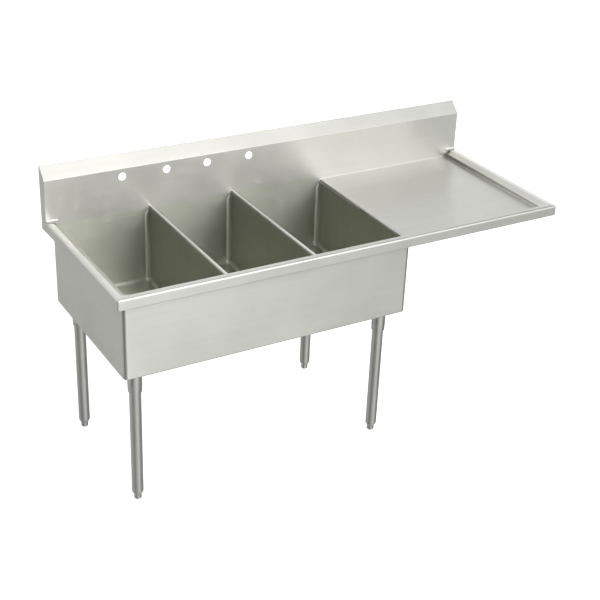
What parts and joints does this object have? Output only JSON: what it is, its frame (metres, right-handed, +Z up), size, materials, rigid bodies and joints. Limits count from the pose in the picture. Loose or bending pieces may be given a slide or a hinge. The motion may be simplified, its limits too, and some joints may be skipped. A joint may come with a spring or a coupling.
{
  "type": "three compartment sink",
  "caption": "Steel scullery sink: a row of deep bowls with coved corners, a recessed drainboard on the right, a tall backsplash with faucet holes, and tubular legs with adjustable feet.",
  "frame": {"origin": "on the floor, at the middle of the sink's length and depth", "axes": "+X from the bowls towards the drainboard, +Y towards the wall, +Z up"},
  "size_m": [2.07, 0.816, 1.194],
  "materials": {
    "sheet_steel": "satin brushed stainless sheet, grain along each panel",
    "tube_steel": "satin stainless tube, grain along the tube",
    "socket_steel": "cast stainless, fine bead-blasted",
    "foot_steel": "turned stainless",
    "drain_steel": "polished stainless",
    "fastener_steel": "plain zinc-grey steel",
    "insert_plastic": "grey moulded plastic",
    "gasket_rubber": "black rubber"
  },
  "bodies": {
    "sink_body": {"backsplash": "sheet_steel", "backsplash_end_left": "sheet_steel", "backsplash_end_right": "sheet_steel", "front_rim": "sheet_steel", "left_rim": "sheet_steel", "right_rim": "sheet_steel", "drainboard": "sheet_steel", "drainboard_channel": "sheet_steel", "apron": "sheet_steel", "bowl_left": "sheet_steel", "bowl_centre": "sheet_steel", "bowl_right": "sheet_steel", "divider_cap_left": "sheet_steel", "divider_cap_right": "sheet_steel", "gusset_front_left": "sheet_steel", "leg_socket_front_left": "socket_steel", "set_screw_front_left": "fastener_steel", "leg_tube_front_left": "tube_steel", "foot_insert_front_left": "insert_plastic", "gusset_front_right": "sheet_steel", "leg_socket_front_right": "socket_steel", "set_screw_front_right": "fastener_steel", "leg_tube_front_right": "tube_steel", "foot_insert_front_right": "insert_plastic", "gusset_rear_left": "sheet_steel", "leg_socket_rear_left": "socket_steel", "set_screw_rear_left": "fastener_steel", "leg_tube_rear_left": "tube_steel", "foot_insert_rear_left": "insert_plastic", "gusset_rear_right": "sheet_steel", "leg_socket_rear_right": "socket_steel", "set_screw_rear_right": "fastener_steel", "leg_tube_rear_right": "tube_steel", "foot_insert_rear_right": "insert_plastic", "strainer_body_left": "drain_steel", "drain_gasket_left": "gasket_rubber", "lock_nut_left": "fastener_steel", "strainer_body_centre": "drain_steel", "drain_gasket_centre": "gasket_rubber", "lock_nut_centre": "fastener_steel", "strainer_body_right": "drain_steel", "drain_gasket_right": "gasket_rubber", "lock_nut_right": "fastener_steel"},
    "foot_front_left": {"bullet_foot_front_left": "foot_steel"},
    "foot_front_right": {"bullet_foot_front_right": "foot_steel"},
    "foot_rear_left": {"bullet_foot_rear_left": "foot_steel"},
    "foot_rear_right": {"bullet_foot_rear_right": "foot_steel"},
    "basket_left": {"strainer_basket_left": "drain_steel"},
    "basket_centre": {"strainer_basket_centre": "drain_steel"},
    "basket_right": {"strainer_basket_right": "drain_steel"}
  },
  "joints": [
    {"name": "foot_front_left_height", "type": "slide", "parent": "sink_body", "child": "foot_front_left", "axis": [0, 0, -1], "range_m": [0, 0.025]},
    {"name": "foot_front_right_height", "type": "slide", "parent": "sink_body", "child": "foot_front_right", "axis": [0, 0, -1], "range_m": [0, 0.025]},
    {"name": "foot_rear_left_height", "type": "slide", "parent": "sink_body", "child": "foot_rear_left", "axis": [0, 0, -1], "range_m": [0, 0.025]},
    {"name": "foot_rear_right_height", "type": "slide", "parent": "sink_body", "child": "foot_rear_right", "axis": [0, 0, -1], "range_m": [0, 0.025]},
    {"name": "basket_left_lift", "type": "slide", "parent": "sink_body", "child": "basket_left", "axis": [0, 0, 1], "range_m": [0, 0.42]},
    {"name": "basket_centre_lift", "type": "slide", "parent": "sink_body", "child": "basket_centre", "axis": [0, 0, 1], "range_m": [0, 0.42]},
    {"name": "basket_right_lift", "type": "slide", "parent": "sink_body", "child": "basket_right", "axis": [0, 0, 1], "range_m": [0, 0.42]}
  ]
}
